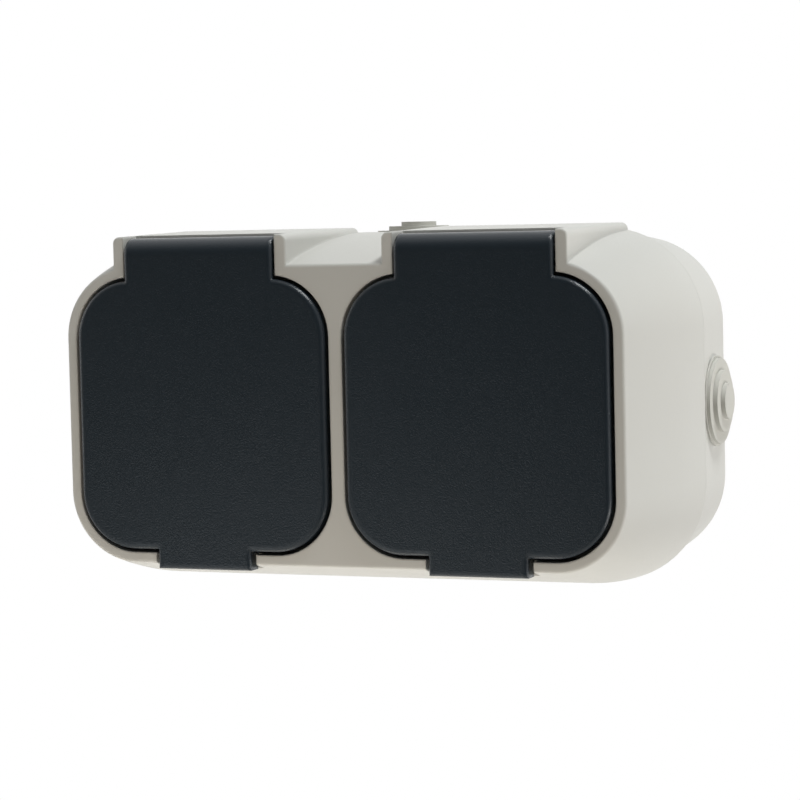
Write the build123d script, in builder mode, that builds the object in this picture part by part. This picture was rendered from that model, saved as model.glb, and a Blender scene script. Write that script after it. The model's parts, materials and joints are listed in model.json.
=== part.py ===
from build123d import *
import os

# Twin surface-mounted weatherproof socket with two spring-closed lids, in millimetres.
# The origin is the centre of the wall face: +X is to the right, +Y goes into the wall, +Z is up.
# "Depth" below is the distance from the wall towards the front, so depth d lies at y = -d.

# Layout
lid_spacing = 4.8  # between the two lids
wall_to_rim = 65.4  # wall to the cover's front rim
wall_to_skirt = 25.8  # wall to the cover's rear edge

# Cover: a rounded rectangle at the rim that swells towards its rear edge
rim_border = 3.1  # round the lids
swell = 6.6  # all round, at the rear edge
swell_fullness = 0.8  # 0 is a straight taper, 1 ends parallel to the depth
cover_wall = 2.3
rim_round = 0.7
plate_thickness = 2.2  # floor of the lid recess

# Lids
lid_size = 61.2
lid_corner = 13.0
lid_gap = 0.85  # all round, to the recess
lid_proud = 1.1  # in front of the rim
lid_depth = 8.0
lid_floor_gap = 1.0
lid_skin = 2.0
lid_skirt_wall = 1.8
lid_edge_round = 0.9
strap_width = 36.7
strap_edge_round = 0.8
strap_gap = 0.5
strap_overlap = 7.0  # strap below the panel's top edge
tab_width = 23.0
tab_drop = 4.35
tab_depth = 4.2
tab_gap = 1.0
tab_edge_round = 0.6

# Hinges
hinge_rise = 5.8  # above a lid's top edge
barrel_radius = 3.8
barrel_gap = 0.4
knuckle_length = 11.0
pin_radius = 1.0
pin_running_gap = 0.05
pin_press_gap = 0.01
pin_blind_depth = 1.5
pin_setback = 0.2
spring_wire = 0.7
spring_radius = 1.55  # to the middle of the wire
spring_coils = 4  # whole turns
spring_pitch = 0.95
spring_leg = 4.3
spring_cover_lean = 35.0  # degrees that the cover's leg leans back
spring_lid_lean = 10.0
spring_room = 0.5  # round the coil

# Hinge towers
tower_wall = 2.6
tower_length = 39.2
tower_rise = 0.4  # above the barrel, at the front
tower_slope = 0.8  # further rise to the back
tower_flare = 1.6  # wider at the back, on each side
tower_crest_round = 1.5
tower_edge_round = 0.35

# Base box
skirt_step = 0.65  # the cover's skirt stands proud of the base
base_draft = 1.9  # the base narrows towards the wall
joint_gap = 0.2
lip_gap = 0.3
lip_wall = 1.8
lip_height = 6.0
base_floor = 2.5
base_edge_round = 0.6
seal_thickness = 1.6
seal_inset = 0.2

# Plug wells
well_radius = 19.75
well_depth = 17.5
cup_wall = 1.55
cup_gap = 0.2
cup_floor = 2.5
cup_setback = 0.4
collar_wall = 1.8
flange_width = 3.2
flange_thickness = 2.0
cup_seal_thickness = 1.0
cup_seal_width = 2.4
pin_spacing = 19.0
pin_hole_radius = 2.75
rib_width = 4.8
rib_reach = 2.8
lid_seal_thickness = 1.5
lid_seal_width = 2.8
lid_seal_gap = 0.3
seal_fence_wall = 1.0
seal_fence_height = 1.2

# Earth clips
clip_width = 6.0
clip_thickness = 1.0
clip_slot_gap = 0.5
clip_stand_off = 0.2  # outside the well's wall line
clip_reach = 3.2  # how far the bow stands into the well
clip_bow_depth = 9.0  # well floor to the bow
clip_bow_start = 2.0  # well floor to where the arm leaves the wall
clip_tip_depth = 14.4
clip_tip_reach = 0.6
clip_bend = 1.2
clip_rim = 2.2  # ring of the cup left whole in front of the slots

# Contact carriers and contacts
carrier_width = 32.0
carrier_height = 42.0
carrier_corner = 4.0
carrier_back = 19.7
chamber_floor = 3.5
chamber_gap = 0.3
chamber_overlap = 1.0
ear_width = 9.0
ear_thickness = 3.0
ear_head_gap = 0.2  # between the carrier's side and the head of its screw
contact_thickness = 0.8
contact_height = 6.0
contact_root = 5.4
contact_grip = 4.4  # free gap where the leaves pinch a pin
contact_mouth = 6.2
contact_grip_depth = 13.0  # above the root
contact_straight = 4.5
contact_setback = 1.2
contact_bend = 1.0

# Bus bars and terminals
bar_width = 6.0
bar_thickness = 1.0
bar_height = 15.0  # line bar below, neutral bar above the middle
bar_slot_gap = 0.2
earth_bar_height = 12.0
earth_bar_width = 5.0
earth_jog = 12.0
block_width = 21.0
block_length = 44.0
clamp_width = 10.0
clamp_length = 9.0
clamp_height = 12.0
clamp_foot = 3.0  # under the bar's slot
wire_hole_radius = 2.0
wire_hole_rise = 7.0

# Screws
boss_offset = 21.6  # cover screws, out from each socket's middle
boss_joint = 31.2
cover_tube_radius = 5.2
base_boss_radius = 4.2
cover_screw_radius = 1.75
cover_screw_head = 3.4
cover_screw_head_height = 2.4
cover_screw_bite = 11.0
post_radius = 4.0
small_screw_radius = 1.5
small_screw_head = 2.8
small_screw_head_height = 1.4
carrier_screw_bite = 8.0
cup_screw_bite = 10.0
screw_gap = 0.05
clear_gap = 0.35
head_gap = 0.4
slot_width = 0.9
slot_depth = 0.8

# Cable entries and wall fixing
entry_radius = 6.0
entry_pad_setback = 0.35  # flat seat, inside the base's widest line
seat_margin = 0.2
grommet_steps = ((10.4, 0.4), (9.8, 0.8), (7.1, 1.0), (4.15, 1.0))  # radius, height
grommet_inner_radius = 7.4
grommet_inner_thickness = 2.0
grommet_membrane = 1.0
neck_gap = 0.05
wall_hole_radius = 2.4
wall_hole_inset_x = 25.3  # from the skirt's sides
wall_hole_inset_z = 9.3

# Derived places
sides = {"left": -1, "right": 1}
pitch = lid_size + lid_spacing
socket_x = pitch / 2
rim_width = pitch + lid_size + 2 * rim_border
rim_height = lid_size + 2 * rim_border
rim_corner = lid_corner + rim_border
hinge_height = lid_size / 2 + hinge_rise
ear_offset = carrier_height / 2 + small_screw_head + ear_head_gap
wall_to_lid = wall_to_rim + lid_proud
lid_back = wall_to_lid - lid_depth
lid_inside = wall_to_lid - lid_skin
recess_size = lid_size + 2 * lid_gap
recess_floor = lid_back - lid_floor_gap
notch_floor = wall_to_lid - tab_depth - lid_floor_gap
plate_back = recess_floor - plate_thickness
hinge_depth = wall_to_lid - barrel_radius
pocket_floor = hinge_depth - barrel_radius - barrel_gap
pocket_width = strap_width + 2 * strap_gap
tower_width = pocket_width + 2 * tower_wall
tower_top = hinge_height + barrel_radius + tower_rise
tower_back = wall_to_rim - tower_length
spring_cavity = spring_radius + spring_wire / 2 + spring_room
collar_front = lid_inside - lid_seal_thickness - lid_seal_gap
cup_front = collar_front - cup_setback
well_floor = cup_front - well_depth
cup_back = well_floor - cup_floor
cup_outer = well_radius + cup_wall
opening_radius = cup_outer + cup_gap
collar_radius = opening_radius + collar_wall
flange_front = plate_back - cup_seal_thickness
cup_screw_seat = well_floor - small_screw_head_height - screw_gap
skirt_width = rim_width + 2 * swell
skirt_height = rim_height + 2 * swell
skirt_corner = rim_corner + swell
base_ledge = wall_to_skirt - joint_gap
entry_depth = base_ledge / 2
lip_inset = cover_wall + lip_gap
lip_front = base_ledge + lip_height
room_inset = lip_inset + lip_wall
cover_step = lip_front + seal_thickness
seat_inset = skirt_step + entry_pad_setback
entry_wall = room_inset - seat_inset
chamber_bottom = carrier_back + chamber_floor
bar_front = chamber_bottom + bar_thickness
earth_bar_front = cup_back - clip_thickness
block_top = chamber_bottom - clamp_foot
head_seat = recess_floor - cover_screw_head_height - head_gap

socket_places = [(sign * socket_x, 0) for sign in sides.values()]
boss_places = [(sx * (socket_x + boss_offset), sz * boss_offset) for sx in (-1, 1) for sz in (-1, 1)]
ear_places = [(x, sz * ear_offset) for x, _ in socket_places for sz in (-1, 1)]


def at_depth(depth):
    """Plane parallel to the wall, facing the front: local x is X, local y is Z."""
    return Plane.XZ.offset(depth)


def side_plane(x):
    """Plane across the hinge axis at x: local x is depth, local y is Z, and it faces -X."""
    return Plane(origin=(x, 0, 0), x_dir=(0, -1, 0), z_dir=(-1, 0, 0))


def cover_outline(depth, inset=0.0):
    """The cover's outline at a depth, or the same outline set in by a wall."""
    share = (wall_to_rim - depth) / (wall_to_rim - wall_to_skirt)
    growth = swell * ((1 + swell_fullness) * share - swell_fullness * share**2) - inset
    RectangleRounded(rim_width + 2 * growth, rim_height + 2 * growth, rim_corner + growth)


def skirt_outline(inset, mode=Mode.ADD):
    """The outline at the cover's rear edge, set in by some amount."""
    RectangleRounded(skirt_width - 2 * inset, skirt_height - 2 * inset, skirt_corner - inset, mode=mode)


def write(piece, name):
    """Labels a finished piece and writes its STEP file."""
    piece.part.label = name
    export_step(piece.part, f"parts/{name}.step")


os.makedirs("parts", exist_ok=True)

# Hinge tower: a block that widens and rises gently to the back
with BuildPart() as tower:
    front_end = (wall_to_rim, tower_width, tower_top)
    back_end = (tower_back, tower_width + 2 * tower_flare, tower_top + tower_slope)
    for depth, width, height in (front_end, back_end):
        with BuildSketch(at_depth(depth)):
            Rectangle(width, height, align=(Align.CENTER, Align.MIN))
    loft(ruled=True)
    fillet(faces().sort_by(Axis.Z)[-1].edges().sort_by(Axis.X)[0::3], tower_crest_round)
    for end in (faces().sort_by(Axis.Y)[0], faces().sort_by(Axis.Y)[-1]):
        fillet(end.edges().filter_by(lambda edge: edge.center().Z > tower_edge_round), tower_edge_round)

# Front cover
with BuildPart() as front_cover:
    for share in (0, 1 / 3, 2 / 3, 1):
        section = wall_to_rim - share * (wall_to_rim - wall_to_skirt)
        with BuildSketch(at_depth(section)):
            cover_outline(section)
    loft()
    fillet(faces().sort_by(Axis.Y)[0].edges(), rim_round)
    with Locations(*[(x, 0, 0) for x, _ in socket_places]):
        add(tower.part)
    # Skirt that goes over the base's lip
    with BuildSketch(at_depth(wall_to_skirt)):
        skirt_outline(cover_wall)
    extrude(amount=cover_step - wall_to_skirt, mode=Mode.SUBTRACT)
    # Room behind the front plate, and the hollow of each tower
    with BuildSketch(at_depth(cover_step)):
        cover_outline(cover_step, room_inset)
    with BuildSketch(at_depth(plate_back)):
        cover_outline(plate_back, cover_wall)
    loft(mode=Mode.SUBTRACT)
    hollow_top = tower_top - cover_wall
    with BuildSketch(at_depth(cover_step)):
        with Locations(*[(x, hollow_top / 2) for x, _ in socket_places]):
            Rectangle(pocket_width, hollow_top)
    extrude(amount=pocket_floor - cover_wall - cover_step, mode=Mode.SUBTRACT)
    # Tubes for the cover screws
    with BuildSketch(at_depth(boss_joint)):
        with Locations(*boss_places):
            Circle(cover_tube_radius)
    extrude(amount=recess_floor - boss_joint)
    # Lid recesses with notches for the lift tabs, and the hinge pockets
    with BuildSketch(at_depth(recess_floor)):
        with Locations(*socket_places):
            RectangleRounded(recess_size, recess_size, lid_corner + lid_gap)
    extrude(amount=lid_depth + lid_floor_gap, mode=Mode.SUBTRACT)
    with BuildSketch(at_depth(notch_floor)):
        with Locations(*[(x, -recess_size / 2) for x, _ in socket_places]):
            Rectangle(tab_width + 2 * tab_gap, lid_size / 2)
    extrude(amount=wall_to_lid - notch_floor, mode=Mode.SUBTRACT)
    with BuildSketch(at_depth(pocket_floor)):
        with Locations(*[(x, hinge_height) for x, _ in socket_places]):
            Rectangle(pocket_width, 4 * barrel_radius)
    extrude(amount=wall_to_lid - pocket_floor, mode=Mode.SUBTRACT)
    # Collars that the lid seals close on, and the openings for the cups
    with BuildSketch(at_depth(plate_back)):
        with Locations(*socket_places):
            Circle(collar_radius)
    extrude(amount=collar_front - plate_back)
    with BuildSketch(at_depth(plate_back)):
        with Locations(*socket_places):
            Circle(opening_radius)
    extrude(amount=collar_front - plate_back, mode=Mode.SUBTRACT)
    with Locations(at_depth(recess_floor)):
        with Locations(*boss_places):
            CounterBoreHole(
                cover_screw_radius + clear_gap,
                cover_screw_head + head_gap,
                recess_floor - head_seat,
                recess_floor - boss_joint,
            )
    # Hinge pin bores: through the left cheek, blind in the right one
    for x, _ in socket_places:
        with BuildSketch(side_plane(x + pocket_width / 2 + pin_blind_depth)):
            with Locations((hinge_depth, hinge_height)):
                Circle(pin_radius + pin_press_gap)
        extrude(amount=tower_width, mode=Mode.SUBTRACT)
write(front_cover, "front_cover")

# Cable entries: each plane lies on its flat seat, with local x pointing out of the box
seat_x = skirt_width / 2 - seat_inset
seat_z = skirt_height / 2 - seat_inset
entries = {
    "left_grommet": Plane((-seat_x, -entry_depth, 0), x_dir=(-1, 0, 0), z_dir=(0, -1, 0)),
    "right_grommet": Plane((seat_x, -entry_depth, 0), x_dir=(1, 0, 0), z_dir=(0, -1, 0)),
    "top_grommet": Plane((0, -entry_depth, seat_z), x_dir=(0, 0, 1), z_dir=(0, -1, 0)),
}

# Base box
with BuildPart() as base_box:
    with BuildSketch(at_depth(0)):
        skirt_outline(skirt_step + base_draft)
    with BuildSketch(at_depth(base_ledge)):
        skirt_outline(skirt_step)
    loft(ruled=True)
    fillet(faces().sort_by(Axis.Y)[-1].edges(), base_edge_round)
    # Flat round seats for the grommets, on the drafted wall
    for entry in entries.values():
        seat = Plane(entry.origin, x_dir=(0, -1, 0), z_dir=entry.x_dir)
        for margin, amount, mode in ((0, -entry_wall, Mode.ADD), (seat_margin, seat_inset, Mode.SUBTRACT)):
            with BuildSketch(seat):
                Circle(grommet_steps[0][0] + margin)
            extrude(amount=amount, mode=mode)
    with BuildSketch(at_depth(base_ledge)):
        skirt_outline(lip_inset)
    extrude(amount=lip_height)
    with BuildSketch(at_depth(base_floor)):
        skirt_outline(room_inset)
    extrude(amount=lip_front - base_floor, mode=Mode.SUBTRACT)
    # Screw bosses for the cover and posts for the contact carriers
    with BuildSketch(at_depth(base_floor)):
        with Locations(*boss_places):
            Circle(base_boss_radius)
    extrude(amount=boss_joint - base_floor)
    with BuildSketch(at_depth(base_floor)):
        with Locations(*ear_places):
            Circle(post_radius)
    extrude(amount=carrier_back - base_floor)
    with Locations(at_depth(boss_joint)):
        with Locations(*boss_places):
            Hole(cover_screw_radius + screw_gap, cover_screw_bite + head_gap)
    with Locations(at_depth(carrier_back)):
        with Locations(*ear_places):
            Hole(small_screw_radius + screw_gap, carrier_screw_bite + head_gap)
    for entry in entries.values():
        with BuildSketch(Plane(entry.origin, x_dir=(0, -1, 0), z_dir=entry.x_dir)):
            Circle(entry_radius + neck_gap)
        extrude(amount=-entry_wall, mode=Mode.SUBTRACT)
    with Locations(at_depth(base_floor)):
        with GridLocations(skirt_width - 2 * wall_hole_inset_x, skirt_height - 2 * wall_hole_inset_z, 2, 2):
            Hole(wall_hole_radius, base_floor)
write(base_box, "base_box")

# Gasket on the base's lip, under the step inside the cover
with BuildPart() as cover_seal:
    with BuildSketch(at_depth(lip_front)):
        skirt_outline(lip_inset + seal_inset)
        skirt_outline(room_inset - seal_inset, mode=Mode.SUBTRACT)
    extrude(amount=seal_thickness)
write(cover_seal, "cover_seal")

# Cable grommets: stepped membranes snapped into the base's entries from outside
for name, entry in entries.items():
    outside = [
        (-entry_wall - grommet_inner_thickness, grommet_inner_radius),
        (-entry_wall, grommet_inner_radius),
        (-entry_wall, entry_radius),
        (0, entry_radius),
    ]
    height = 0.0
    for radius, rise in grommet_steps:
        outside += [(height, radius), (height + rise, radius)]
        height += rise
    tip_radius, tip_rise = grommet_steps[-1]
    bore = entry_radius - grommet_membrane
    tip_bore = tip_radius - grommet_membrane
    shoulder = height - tip_rise - grommet_membrane
    inside = [
        (height - grommet_membrane, 0),
        (height - grommet_membrane, tip_bore),
        (shoulder, tip_bore),
        (shoulder, bore),
        (-entry_wall - grommet_inner_thickness, bore),
    ]
    with BuildPart() as grommet:
        with BuildSketch(entry):
            with BuildLine():
                Polyline(*outside, (height, 0), *inside, close=True)
            make_face()
        revolve(axis=Axis(entry.origin, entry.x_dir))
    write(grommet, name)

# Cover screws, sunk in their tubes
with BuildPart() as cover_screws:
    with BuildSketch(at_depth(boss_joint - cover_screw_bite)):
        with Locations(*boss_places):
            Circle(cover_screw_radius)
    extrude(amount=head_seat - boss_joint + cover_screw_bite)
    with BuildSketch(at_depth(head_seat)):
        with Locations(*boss_places):
            Circle(cover_screw_head)
    extrude(amount=cover_screw_head_height)
    with BuildSketch(at_depth(head_seat + cover_screw_head_height)):
        with Locations(*boss_places):
            Rectangle(cover_screw_head, slot_width)
            Rectangle(slot_width, cover_screw_head)
    extrude(amount=-slot_depth, mode=Mode.SUBTRACT)
write(cover_screws, "cover_screws")

# Hinge strap, rolled round the barrel, with softened ends
with BuildPart() as strap:
    strap_foot = lid_size / 2 - strap_overlap
    with BuildSketch(side_plane(0)):
        with BuildLine():
            Polyline(
                (lid_inside, strap_foot),
                (wall_to_lid, strap_foot),
                (wall_to_lid, hinge_height),
                (lid_inside, hinge_height),
                close=True,
            )
        make_face()
        with Locations((hinge_depth, hinge_height)):
            Circle(barrel_radius)
    extrude(amount=strap_width / 2, both=True)
    ends = faces().filter_by(Axis.X).sort_by(Axis.X)
    rolled = (ends[0].edges() + ends[-1].edges()).filter_by(
        lambda edge: edge.center().Z > strap_foot + strap_edge_round and edge.center().Y < -hinge_depth
    )
    fillet(rolled, strap_edge_round)

# Lift tab, with softened front edges
with BuildPart() as tab:
    with BuildSketch(at_depth(wall_to_lid - tab_depth)):
        with Locations((0, -lid_size / 2)):
            Rectangle(tab_width, 2 * tab_drop)
    extrude(amount=tab_depth)
    fillet(faces().sort_by(Axis.Y)[0].edges().sort_by(Axis.Z)[:3], tab_edge_round)

# Torsion spring, coiled about its own Z axis: its first leg bears on the cover, its last on the lid
with BuildPart() as spring:
    coil_length = (spring_coils + (180 - spring_cover_lean + spring_lid_lean) / 360) * spring_pitch
    with BuildLine():
        coil = Helix(spring_pitch, coil_length, spring_radius)
    with BuildSketch(Plane(coil @ 0, z_dir=coil % 0)):
        Circle(spring_wire / 2)
    sweep(path=coil)
    for place, heading in ((coil @ 0, -(coil % 0)), (coil @ 1, coil % 1)):
        with BuildSketch(Plane(place, z_dir=heading)):
            Circle(spring_wire / 2)
        extrude(amount=spring_leg)

for side, sign in sides.items():
    x = sign * socket_x

    # Lid: a shallow tray with the hinge strap at its top and a lift tab at its bottom
    with BuildPart() as lid:
        with BuildSketch(at_depth(lid_back)):
            with Locations((x, 0)):
                RectangleRounded(lid_size, lid_size, lid_corner)
        extrude(amount=lid_depth)
        fillet(faces().sort_by(Axis.Y)[0].edges(), lid_edge_round)
        with Locations((x, 0, 0)):
            add(strap.part)
            add(tab.part)
        with BuildSketch(at_depth(lid_back)):
            with Locations((x, 0)):
                inner_size = lid_size - 2 * lid_skirt_wall
                RectangleRounded(inner_size, inner_size, lid_corner - lid_skirt_wall)
        extrude(amount=lid_depth - lid_skin, mode=Mode.SUBTRACT)
        # Ring that locates the seal
        with BuildSketch(at_depth(lid_inside)):
            with Locations((x, 0)):
                Circle(opening_radius + lid_seal_width + seal_fence_wall)
                Circle(opening_radius + lid_seal_width, mode=Mode.SUBTRACT)
        extrude(amount=-seal_fence_height)
        # Bore for the pin, and the hollow between the knuckles where the spring coils
        with BuildSketch(side_plane(x)):
            with Locations((hinge_depth, hinge_height)):
                Circle(pin_radius + pin_running_gap)
        extrude(amount=strap_width, both=True, mode=Mode.SUBTRACT)
        with BuildSketch(side_plane(x)):
            with Locations((hinge_depth, hinge_height)):
                Circle(spring_cavity)
            with Locations((hinge_depth, hinge_height + spring_cavity)):
                Rectangle(2 * barrel_radius, 2 * spring_cavity, align=(Align.MAX, Align.MAX))
            with Locations((lid_inside, hinge_height)):
                Rectangle(2 * barrel_radius, 2 * barrel_radius, align=(Align.MAX, Align.MAX))
        extrude(amount=strap_width / 2 - knuckle_length, both=True, mode=Mode.SUBTRACT)
    write(lid, f"{side}_lid")

    # Ring seal inside the lid
    with BuildPart() as lid_seal:
        with BuildSketch(at_depth(lid_inside)):
            with Locations((x, 0)):
                Circle(opening_radius + lid_seal_width)
                Circle(opening_radius, mode=Mode.SUBTRACT)
        extrude(amount=-lid_seal_thickness)
    write(lid_seal, f"{side}_lid_seal")

    # Hinge pin, driven in from the left cheek
    with BuildPart() as hinge_pin:
        with BuildSketch(side_plane(x + pocket_width / 2 + pin_blind_depth)):
            with Locations((hinge_depth, hinge_height)):
                Circle(pin_radius)
        extrude(amount=pocket_width + pin_blind_depth + tower_wall - pin_setback)
    write(hinge_pin, f"{side}_hinge_pin")

    # Torsion spring on the pin
    with BuildPart() as lid_spring:
        coil_start = (x - coil_length / 2, -hinge_depth, hinge_height)
        coil_side = Vector(0, 1, 0).rotate(Axis.X, spring_cover_lean)
        coil_plane = Plane(coil_start, x_dir=coil_side, z_dir=(1, 0, 0))
        with Locations(coil_plane):
            add(spring.part)
    write(lid_spring, f"{side}_lid_spring")

    # Plug well with pin holes, guide ribs and slots for the earth clip
    with BuildPart() as socket_cup:
        with BuildSketch(at_depth(cup_back)):
            with Locations((x, 0)):
                Circle(cup_outer)
        extrude(amount=cup_front - cup_back)
        with BuildSketch(at_depth(flange_front)):
            with Locations((x, 0)):
                Circle(cup_outer + flange_width)
        extrude(amount=-flange_thickness)
        with BuildSketch(at_depth(well_floor)):
            with Locations((x, 0)):
                Circle(well_radius)
            with Locations((x - well_radius, 0), (x + well_radius, 0)):
                Rectangle(2 * rib_reach, rib_width, mode=Mode.SUBTRACT)
        extrude(amount=well_depth, mode=Mode.SUBTRACT)
        with BuildSketch(at_depth(cup_back)):
            with Locations((x - pin_spacing / 2, 0), (x + pin_spacing / 2, 0)):
                Circle(pin_hole_radius)
        extrude(amount=cup_floor, mode=Mode.SUBTRACT)
        with BuildSketch(at_depth(cup_back)):
            with Locations((x, well_radius), (x, -well_radius)):
                Rectangle(clip_width + 2 * clip_slot_gap, 2 * cup_wall)
        extrude(amount=cup_front - cup_back - clip_rim, mode=Mode.SUBTRACT)
        with Locations(at_depth(well_floor)):
            with Locations((x, 0)):
                CounterBoreHole(
                    small_screw_radius + clear_gap,
                    small_screw_head + clear_gap,
                    well_floor - cup_screw_seat,
                    cup_floor,
                )
    write(socket_cup, f"{side}_socket_cup")

    # Ring between the cup's flange and the cover
    with BuildPart() as cup_seal:
        with BuildSketch(at_depth(flange_front)):
            with Locations((x, 0)):
                Circle(opening_radius + cup_seal_width)
                Circle(opening_radius, mode=Mode.SUBTRACT)
        extrude(amount=cup_seal_thickness)
    write(cup_seal, f"{side}_cup_seal")

    # Earth clip: one bent strip, with a bar behind the cup and a sprung arm at top and bottom
    with BuildPart() as earth_clip:
        arm = well_radius + clip_stand_off + clip_thickness / 2
        bar_middle = cup_back - clip_thickness / 2
        upper_arm = [
            (well_floor + clip_tip_depth, arm - clip_tip_reach),
            (well_floor + clip_bow_depth, arm - clip_reach),
            (well_floor + clip_bow_start, arm),
            (bar_middle, arm),
        ]
        lower_arm = [(depth, -height) for depth, height in reversed(upper_arm)]
        with BuildSketch(side_plane(x)):
            with BuildLine():
                FilletPolyline(*upper_arm, *lower_arm, radius=clip_bend)
            trace(line_width=clip_thickness)
        extrude(amount=clip_width / 2, both=True)
        with Locations(at_depth(cup_back)):
            with Locations((x, 0)):
                Hole(small_screw_radius + clear_gap, clip_thickness)
    write(earth_clip, f"{side}_earth_clip")

    # Contacts: the line pin is on the outer side of each socket, the neutral pin on the inner side
    contacts = {"line": (x + sign * pin_spacing / 2, -1), "neutral": (x - sign * pin_spacing / 2, 1)}
    for pole, (pin_x, tail) in contacts.items():
        with BuildPart() as contact:
            root_depth = bar_front + contact_thickness / 2
            leaf = [
                (contact_mouth, cup_back - contact_setback),
                (contact_grip, root_depth + contact_grip_depth),
                (contact_root, root_depth + contact_straight),
                (contact_root, root_depth),
            ]
            left_leaf = [(pin_x - (gap + contact_thickness) / 2, -depth) for gap, depth in leaf]
            right_leaf = [(pin_x + (gap + contact_thickness) / 2, -depth) for gap, depth in reversed(leaf)]
            with BuildSketch(Plane.XY):
                with BuildLine():
                    FilletPolyline(*left_leaf, *right_leaf, radius=contact_bend)
                trace(line_width=contact_thickness)
            extrude(amount=contact_height / 2, both=True)
            with BuildSketch(at_depth(bar_front)):
                with Locations((pin_x, tail * bar_height / 2)):
                    Rectangle(bar_width, bar_height + bar_width)
            extrude(amount=contact_thickness)
        write(contact, f"{side}_{pole}_contact")

    # Insulating carrier: chambers for the contacts, tunnels for the bars, ears on the base's posts
    with BuildPart() as carrier:
        with BuildSketch(at_depth(carrier_back)):
            with Locations((x, 0)):
                RectangleRounded(carrier_width, carrier_height, carrier_corner)
        extrude(amount=cup_back - carrier_back)
        with BuildSketch(at_depth(carrier_back)):
            with Locations((x, 0)):
                SlotCenterToCenter(2 * ear_offset, ear_width, rotation=90)
        extrude(amount=ear_thickness)
        inner_edge = x - sign * carrier_width / 2
        chamber_width = contact_mouth + 2 * (contact_thickness + chamber_gap)
        chamber_end = bar_height + bar_width / 2 + chamber_gap
        chamber_start = contact_height / 2 + chamber_overlap
        for pin_x, tail in contacts.values():
            with BuildSketch(at_depth(chamber_bottom)):
                with Locations((pin_x, tail * (chamber_end - chamber_start) / 2)):
                    Rectangle(chamber_width, chamber_end + chamber_start)
            extrude(amount=cup_back - chamber_bottom, mode=Mode.SUBTRACT)
            tunnel = abs(pin_x - inner_edge)
            with BuildSketch(at_depth(chamber_bottom)):
                with Locations(((pin_x + inner_edge) / 2, tail * bar_height)):
                    Rectangle(tunnel, bar_width + 2 * bar_slot_gap)
            extrude(amount=bar_thickness + bar_slot_gap, mode=Mode.SUBTRACT)
        # Grooves for the earth clip and the earth bar
        with BuildSketch(at_depth(earth_bar_front)):
            with Locations((x, 0)):
                Rectangle(clip_width + 2 * bar_slot_gap, carrier_height)
        extrude(amount=clip_thickness, mode=Mode.SUBTRACT)
        with BuildSketch(at_depth(earth_bar_front - bar_thickness)):
            with Locations(((x + inner_edge) / 2, -earth_bar_height)):
                Rectangle(carrier_width / 2 + clip_width, earth_bar_width + 2 * bar_slot_gap)
        extrude(amount=cup_back - earth_bar_front + bar_thickness, mode=Mode.SUBTRACT)
        with Locations(at_depth(earth_bar_front)):
            with Locations((x, 0)):
                Hole(small_screw_radius + screw_gap, cup_screw_bite + head_gap)
        with Locations(at_depth(carrier_back + ear_thickness)):
            with Locations((x, ear_offset), (x, -ear_offset)):
                Hole(small_screw_radius + clear_gap, ear_thickness)
    write(carrier, f"{side}_contact_carrier")

# Bars that link the two sockets: line below, neutral above, earth through the middle
bars = {"line_busbar": (socket_x + pin_spacing / 2, -1), "neutral_busbar": (socket_x - pin_spacing / 2, 1)}
for name, (reach, tail) in bars.items():
    with BuildPart() as busbar:
        with BuildSketch(at_depth(chamber_bottom)):
            with Locations((0, tail * bar_height)):
                Rectangle(2 * reach + bar_width, bar_width)
        extrude(amount=bar_thickness)
    write(busbar, name)

with BuildPart() as earth_busbar:
    with BuildSketch(at_depth(earth_bar_front)):
        for sign in sides.values():
            with Locations((sign * (socket_x + clip_width / 2), -earth_bar_height)):
                Rectangle(
                    socket_x + clip_width / 2 - earth_jog + earth_bar_width / 2,
                    earth_bar_width,
                    align=(Align.MAX if sign > 0 else Align.MIN, Align.CENTER),
                )
            with Locations((sign * earth_jog, -earth_bar_height / 2)):
                Rectangle(earth_bar_width, earth_bar_height + earth_bar_width)
        Rectangle(2 * earth_jog, earth_bar_width)
    extrude(amount=-bar_thickness)
write(earth_busbar, "earth_busbar")

# Terminals in the middle: a block on the base's floor, a brass clamp on each bar and its screws
earth_seat = earth_bar_front - bar_thickness - clamp_foot
clamp_seats = {-bar_height: block_top, 0.0: earth_seat, bar_height: block_top}
with BuildPart() as terminal_block:
    with BuildSketch(at_depth(base_floor)):
        RectangleRounded(block_width, block_length, carrier_corner / 2)
    extrude(amount=block_top - base_floor)
    # Pedestal under the earth clamp
    with BuildSketch(at_depth(block_top)):
        Rectangle(clamp_width, clamp_length)
    extrude(amount=earth_seat - block_top)
write(terminal_block, "terminal_block")

with BuildPart() as terminal_clamps:
    for clamp_z, seat in clamp_seats.items():
        with BuildSketch(at_depth(seat)):
            with Locations((0, clamp_z)):
                Rectangle(clamp_width, clamp_length)
        extrude(amount=clamp_height)
    for clamp_z, seat in clamp_seats.items():
        with BuildSketch(at_depth(seat + clamp_foot)):
            with Locations((0, clamp_z)):
                Rectangle(clamp_width, bar_width + 2 * bar_slot_gap)
        extrude(amount=bar_thickness + bar_slot_gap, mode=Mode.SUBTRACT)
        with BuildSketch(Plane.XY.offset(clamp_z - clamp_length / 2)):
            with Locations((0, -seat - wire_hole_rise)):
                Circle(wire_hole_radius)
        extrude(amount=clamp_length, mode=Mode.SUBTRACT)
        with Locations(at_depth(seat + clamp_height)):
            with Locations((0, clamp_z)):
                Hole(small_screw_radius + screw_gap, clamp_height - wire_hole_rise)
write(terminal_clamps, "terminal_clamps")

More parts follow.
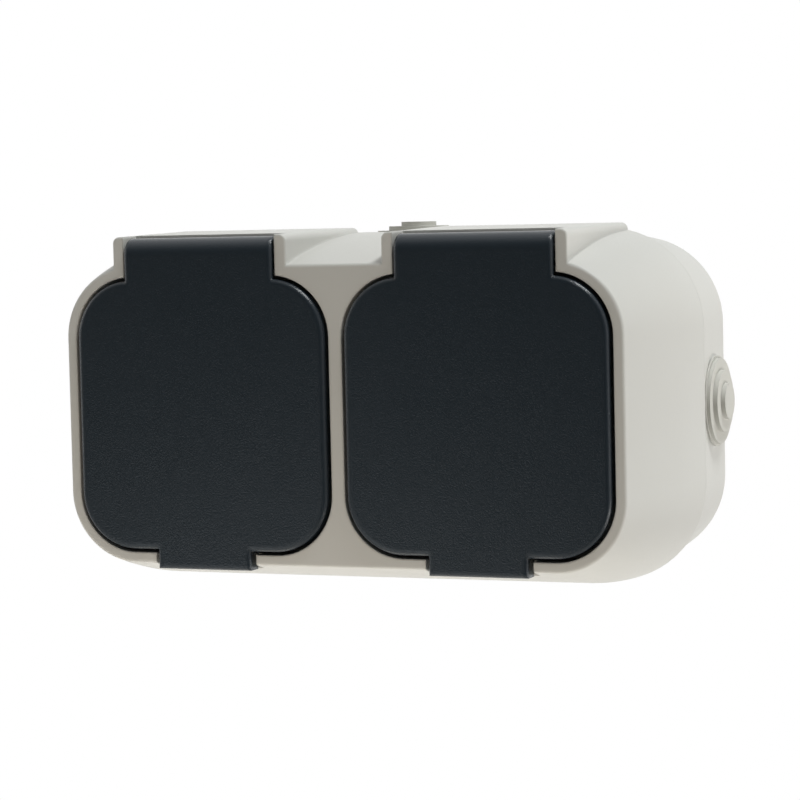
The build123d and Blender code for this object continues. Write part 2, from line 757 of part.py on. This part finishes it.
# Small pan-head screws with a driver slot: place, seat depth and length under the head
terminal_bite = clamp_height - wire_hole_rise - wire_hole_radius
screw_sets = {
    "terminal_screws": [((0, z), seat + clamp_height, terminal_bite) for z, seat in clamp_seats.items()],
    "carrier_screws": [
        (place, carrier_back + ear_thickness, ear_thickness + carrier_screw_bite) for place in ear_places
    ],
    "cup_screws": [
        (place, cup_screw_seat, cup_screw_seat - earth_bar_front + cup_screw_bite) for place in socket_places
    ],
}
for name, screws in screw_sets.items():
    with BuildPart() as small_screws:
        for place, seat, bite in screws:
            with BuildSketch(at_depth(seat - bite)):
                with Locations(place):
                    Circle(small_screw_radius)
            extrude(amount=bite)
            with BuildSketch(at_depth(seat)):
                with Locations(place):
                    Circle(small_screw_head)
            extrude(amount=small_screw_head_height)
            with BuildSketch(at_depth(seat + small_screw_head_height)):
                with Locations(place):
                    Rectangle(2 * small_screw_head, slot_width)
            extrude(amount=-slot_depth, mode=Mode.SUBTRACT)
    write(small_screws, name)
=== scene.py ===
import json
from math import radians

import bpy
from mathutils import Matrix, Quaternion, Vector


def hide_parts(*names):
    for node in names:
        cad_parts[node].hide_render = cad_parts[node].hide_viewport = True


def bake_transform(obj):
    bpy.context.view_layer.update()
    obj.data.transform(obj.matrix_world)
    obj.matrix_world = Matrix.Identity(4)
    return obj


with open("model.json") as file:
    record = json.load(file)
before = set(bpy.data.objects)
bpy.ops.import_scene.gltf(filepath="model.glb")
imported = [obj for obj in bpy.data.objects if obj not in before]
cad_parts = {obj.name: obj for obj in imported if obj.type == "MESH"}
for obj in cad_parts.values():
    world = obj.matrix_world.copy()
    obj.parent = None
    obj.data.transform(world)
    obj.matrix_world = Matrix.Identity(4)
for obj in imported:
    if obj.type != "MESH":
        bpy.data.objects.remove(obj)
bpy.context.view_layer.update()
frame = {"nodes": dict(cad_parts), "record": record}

# Twin surface-mounted weatherproof socket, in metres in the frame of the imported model:
# the wall face is at y = 0, +Y goes into the wall and +Z is up.

MM = 0.001
# Noise stays mostly between these values
NOISE_LOW = 0.3
NOISE_HIGH = 0.7


def linear(hex_colour):
    """A hex sRGB colour as linear RGBA."""
    channels = [int(hex_colour[i:i + 2], 16) / 255 for i in (1, 3, 5)]
    return [c / 12.92 if c <= 0.04045 else ((c + 0.055) / 1.055) ** 2.4 for c in channels] + [1.0]


def per_metre(size_mm):
    """Texture scale that repeats a pattern about every size_mm."""
    return 1 / (size_mm * MM)


def add_node(tree, kind, settings=None, inputs=None):
    """Adds a node; inputs hold plain values, or sockets to link from."""
    node = tree.nodes.new(kind)
    for name, value in (settings or {}).items():
        setattr(node, name, value)
    for name, value in (inputs or {}).items():
        if isinstance(value, bpy.types.NodeSocket):
            tree.links.new(value, node.inputs[name])
        else:
            node.inputs[name].default_value = value
    return node


def moulded(name, colour, shade, cloud_mm, grain_mm, grain_depth_mm, roughness, edge_mm=0.3, specular=0.5):
    """Moulded plastic or rubber: a cloudy tint between two colours and a fine even grain.

    roughness is the range between the grain's tops and its hollows. edge_mm is how far light
    creeps round an edge, which moulding leaves a little softer than the drawn one.
    """
    material = bpy.data.materials.new(name)
    material.use_nodes = True
    tree = material.node_tree
    surface = tree.nodes["Principled BSDF"]
    surface.inputs["IOR"].default_value = 1.5
    surface.inputs["Specular IOR Level"].default_value = specular
    place = add_node(tree, "ShaderNodeTexCoord").outputs["Object"]
    cloud = add_node(tree, "ShaderNodeTexNoise", inputs={
        "Vector": place, "Scale": per_metre(cloud_mm), "Detail": 3.0, "Roughness": 0.5,
    })
    tint = add_node(tree, "ShaderNodeMix", {"data_type": "RGBA"}, {
        "Factor": cloud.outputs["Fac"], "A": linear(colour), "B": linear(shade),
    })
    grain = add_node(tree, "ShaderNodeTexNoise", inputs={
        "Vector": place, "Scale": per_metre(grain_mm), "Detail": 2.0, "Roughness": 0.6,
    })
    gloss = add_node(tree, "ShaderNodeMapRange", inputs={
        "Value": grain.outputs["Fac"], "From Min": NOISE_LOW, "From Max": NOISE_HIGH,
        "To Min": roughness[0], "To Max": roughness[1],
    })
    soft_edge = add_node(tree, "ShaderNodeBevel", {"samples": 6}, {"Radius": edge_mm * MM})
    relief = add_node(tree, "ShaderNodeBump", inputs={
        "Height": grain.outputs["Fac"], "Distance": grain_depth_mm * MM, "Strength": 1.0,
        "Normal": soft_edge.outputs["Normal"],
    })
    tree.links.new(tint.outputs["Result"], surface.inputs["Base Color"])
    tree.links.new(gloss.outputs["Result"], surface.inputs["Roughness"])
    tree.links.new(relief.outputs["Normal"], surface.inputs["Normal"])
    return material


def bare_metal(name, colour, shade, streak_mm, roughness):
    """Rolled or drawn metal: streaks along X that change its colour and gloss a little."""
    material = bpy.data.materials.new(name)
    material.use_nodes = True
    tree = material.node_tree
    surface = tree.nodes["Principled BSDF"]
    surface.inputs["Metallic"].default_value = 1.0
    place = add_node(tree, "ShaderNodeTexCoord").outputs["Object"]
    drawn = add_node(tree, "ShaderNodeMapping", inputs={"Vector": place, "Scale": (0.15, 1.0, 1.0)})
    streaks = add_node(tree, "ShaderNodeTexNoise", inputs={
        "Vector": drawn.outputs["Vector"], "Scale": per_metre(streak_mm), "Detail": 4.0, "Roughness": 0.6,
    })
    tint = add_node(tree, "ShaderNodeMix", {"data_type": "RGBA"}, {
        "Factor": streaks.outputs["Fac"], "A": linear(colour), "B": linear(shade),
    })
    gloss = add_node(tree, "ShaderNodeMapRange", inputs={
        "Value": streaks.outputs["Fac"], "From Min": NOISE_LOW, "From Max": NOISE_HIGH,
        "To Min": roughness[0], "To Max": roughness[1],
    })
    tree.links.new(tint.outputs["Result"], surface.inputs["Base Color"])
    tree.links.new(gloss.outputs["Result"], surface.inputs["Roughness"])
    return material


# The moulded grains and the streaks are really about 0.1 mm wide; all are drawn coarser, so that
# they show.

# Light grey ABS, moulded in a finely eroded tool: a warm, even grey with a soft satin sheen
housing_abs = moulded(
    "housing_abs", "#d3d3cf", "#cecdc8",
    cloud_mm=25, grain_mm=0.5, grain_depth_mm=0.003, roughness=(0.4, 0.52), edge_mm=0.8,
)
# Anthracite ABS with a moulded grain: nearly black blue-grey, with a fine sparkle in the light
lid_abs = moulded(
    "lid_anthracite_abs", "#1f2931", "#242d35",
    cloud_mm=18, grain_mm=0.3, grain_depth_mm=0.05, roughness=(0.16, 0.27), edge_mm=1.3,
)
# The same anthracite, moulded smooth for the plug wells: a plain dark grey with a soft gleam
well_abs = moulded(
    "well_anthracite_abs", "#23282c", "#272c31",
    cloud_mm=18, grain_mm=0.6, grain_depth_mm=0.006, roughness=(0.3, 0.4),
)
# White polyamide that carries the contacts: slightly creamy, with a dull waxy sheen
carrier_nylon = moulded(
    "carrier_polyamide", "#e4e1d6", "#dcd8cb",
    cloud_mm=12, grain_mm=0.6, grain_depth_mm=0.006, roughness=(0.4, 0.5),
)
# Grey moulded thermoplastic rubber: a little darker than the housing and duller
grommet_rubber = moulded(
    "grommet_rubber", "#cfcec8", "#c9c8c1",
    cloud_mm=10, grain_mm=0.5, grain_depth_mm=0.008, roughness=(0.55, 0.68),
)
# Black moulded seal rubber: dull, with a trace of bloom
seal_rubber = moulded(
    "seal_rubber", "#121314", "#1c1d1e",
    cloud_mm=6, grain_mm=0.5, grain_depth_mm=0.008, roughness=(0.6, 0.75), specular=0.3,
)
# Zinc-plated steel: a bright bluish grey with faint drawing streaks
zinc_steel = bare_metal("zinc_plated_steel", "#c9ccce", "#b4b8bb", streak_mm=0.8, roughness=(0.22, 0.36))
# Rolled brass strip: warm yellow, slightly dulled
contact_brass = bare_metal("contact_brass", "#d9b56a", "#c9a257", streak_mm=1.0, roughness=(0.24, 0.38))

finishes = {
    "housing_grey": housing_abs,
    "lid_anthracite": lid_abs,
    "insert_dark": well_abs,
    "carrier_white": carrier_nylon,
    "seal_rubber": seal_rubber,
    "grommet_grey": grommet_rubber,
    "plated_steel": zinc_steel,
    "contact_brass": contact_brass,
}
for subpart in frame["record"]["subparts"]:
    part = frame["nodes"][subpart["node"]]
    part.data.materials.clear()
    part.data.materials.append(finishes[subpart["material_slot"]])

# Lid springs: a copy of the imported wire, its points merged and shaded smooth by angle, shown in place of
# the imported one
MERGE_DISTANCE = 0.001 * MM
SMOOTH_ANGLE = radians(40)
for joint in frame["record"]["behaviour"]["joints"]:
    packed = frame["nodes"][joint["deforming_nodes"][0]["node"]]
    spring = bpy.data.objects.new(packed.name + "_wire", packed.data.copy())
    bpy.context.collection.objects.link(spring)
    bpy.ops.object.select_all(action="DESELECT")
    spring.select_set(True)
    bpy.context.view_layer.objects.active = spring
    bpy.ops.object.mode_set(mode="EDIT")
    bpy.ops.mesh.select_all(action="SELECT")
    bpy.ops.mesh.remove_doubles(threshold=MERGE_DISTANCE)
    bpy.ops.object.mode_set(mode="OBJECT")
    bpy.ops.object.shade_smooth_by_angle(angle=SMOOTH_ANGLE)
    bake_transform(spring)
    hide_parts(packed.name)

# Camera, as fitted to the photograph: it aims at a point in the plane of the cover's front rim
CAMERA_TARGET = Vector((15.24, -65.4, 3.70)) * MM
CAMERA_DISTANCE = 620.04 * MM
CAMERA_AZIMUTH = 21.875
CAMERA_ELEVATION = 3.829
CAMERA_ROLL = -1.318
CAMERA_LENS = 127.08
SENSOR_WIDTH = 36.0
NEAREST_SEEN = 0.01

sideways = Quaternion((0, 0, 1), radians(CAMERA_AZIMUTH))
downwards = Quaternion((1, 0, 0), radians(90 - CAMERA_ELEVATION))
aim = sideways @ downwards @ Quaternion((0, 0, 1), radians(CAMERA_ROLL))
bpy.ops.object.select_all(action="DESELECT")
bpy.ops.object.camera_add(location=CAMERA_TARGET + aim @ Vector((0, 0, CAMERA_DISTANCE)))
camera = bpy.context.object
camera.name = "photo_camera"
camera.data.sensor_width = SENSOR_WIDTH
camera.data.lens = CAMERA_LENS
camera.data.clip_start = NEAREST_SEEN
camera.rotation_mode = "QUATERNION"
camera.rotation_quaternion = aim
bpy.context.scene.camera = camera

# Pale matt floor, below the photograph's frame
FLOOR_HEIGHT = -0.45
FLOOR_RADIUS = 0.6
bpy.ops.object.select_all(action="DESELECT")
bpy.ops.mesh.primitive_circle_add(
    vertices=96, radius=FLOOR_RADIUS, fill_type="NGON", location=(0, 0, FLOOR_HEIGHT)
)
floor = bpy.context.object
floor.name = "floor"
floor_paint = bpy.data.materials.new("floor_white")
floor_paint.use_nodes = True
floor_surface = floor_paint.node_tree.nodes["Principled BSDF"]
floor_surface.inputs["Base Color"].default_value = linear("#f2f2f0")
floor_surface.inputs["Roughness"].default_value = 0.8
floor.data.materials.append(floor_paint)

# Soft light, each lamp with its place and width in metres, watts and colour: a key above on the
# right, weaker lamps low on the right and on the left, a warm bounce close below the front, one
# from straight below that gleams in the lids' lower edges, and one far in front on the left. The
# last lamp is for the back, which the photograph doesn't show.
lamps = {
    "top_key": ((0.44, -0.12, 1.02), 0.36, 8.2, "#fcffff"),
    "low_right": ((0.8, 0.1, -0.42), 0.5, 4.0, "#fffcf8"),
    "left_soft": ((-1.1, -0.2, 0.2), 0.7, 1.2, "#ffffff"),
    "near_bounce": ((-0.02, -0.25, -0.15), 0.18, 0.19, "#fff0dc"),
    "under_gleam": ((-0.13, -0.03, -0.38), 0.22, 0.32, "#fffaf2"),
    "far_bounce": ((-0.45, -0.92, -0.43), 0.45, 0.9, "#f6fbff"),
    "rear_soft": ((-0.5, 1.1, -0.05), 0.6, 4.0, "#ffffff"),
}
for name, (place, size, power, colour) in lamps.items():
    bpy.ops.object.select_all(action="DESELECT")
    bpy.ops.object.light_add(type="AREA", location=place)
    lamp = bpy.context.object
    lamp.name = name
    lamp.data.shape = "DISK"
    lamp.data.size = size
    lamp.data.energy = power
    lamp.data.color = linear(colour)[:3]
    lamp.rotation_mode = "QUATERNION"
    lamp.rotation_quaternion = (-Vector(place)).to_track_quat("-Z", "Y")
# These stand for pale surfaces round the object, so they don't glare in the lids
for name in ("near_bounce", "rear_soft"):
    bpy.data.objects[name].visible_glossy = False
# The two low lamps would show in a view from above
for name in ("near_bounce", "under_gleam"):
    bpy.data.objects[name].visible_camera = False

# World: white to the camera, and in reflections also white above, beside and behind the object.
# Its light is that of a room that is pale on all sides of the object and dim in front of it.
world = bpy.data.worlds.new("studio")
bpy.context.scene.world = world
world.use_nodes = True
tree = world.node_tree
background = tree.nodes["Background"]
ray = add_node(tree, "ShaderNodeLightPath")
direction = add_node(tree, "ShaderNodeTexCoord").outputs["Generated"]
heading = add_node(tree, "ShaderNodeSeparateXYZ", inputs={"Vector": direction})
beside = add_node(tree, "ShaderNodeMapRange", inputs={
    "Value": heading.outputs["Y"], "From Min": -1.0, "From Max": -0.1,
})
room = add_node(tree, "ShaderNodeMix", {"data_type": "RGBA"}, {
    "Factor": beside.outputs["Result"], "A": linear("#464442"), "B": linear("#959490"),
})
behind = add_node(tree, "ShaderNodeMapRange", inputs={
    "Value": heading.outputs["Y"], "From Min": -0.7, "From Max": 0.0,
})
mirrored = add_node(tree, "ShaderNodeMath", {"operation": "ADD"}, {
    0: ray.outputs["Is Glossy Ray"], 1: ray.outputs["Is Transmission Ray"],
})
backdrop = add_node(tree, "ShaderNodeMath", {"operation": "MULTIPLY_ADD", "use_clamp": True}, {
    0: mirrored.outputs["Value"], 1: behind.outputs["Result"], 2: ray.outputs["Is Camera Ray"],
})
seen = add_node(tree, "ShaderNodeMix", {"data_type": "RGBA"}, {
    "Factor": backdrop.outputs["Value"], "A": room.outputs["Result"], "B": linear("#ffffff"),
})
tree.links.new(seen.outputs["Result"], background.inputs["Color"])
background.inputs["Strength"].default_value = 1.0
bpy.context.scene.view_settings.view_transform = "Standard"
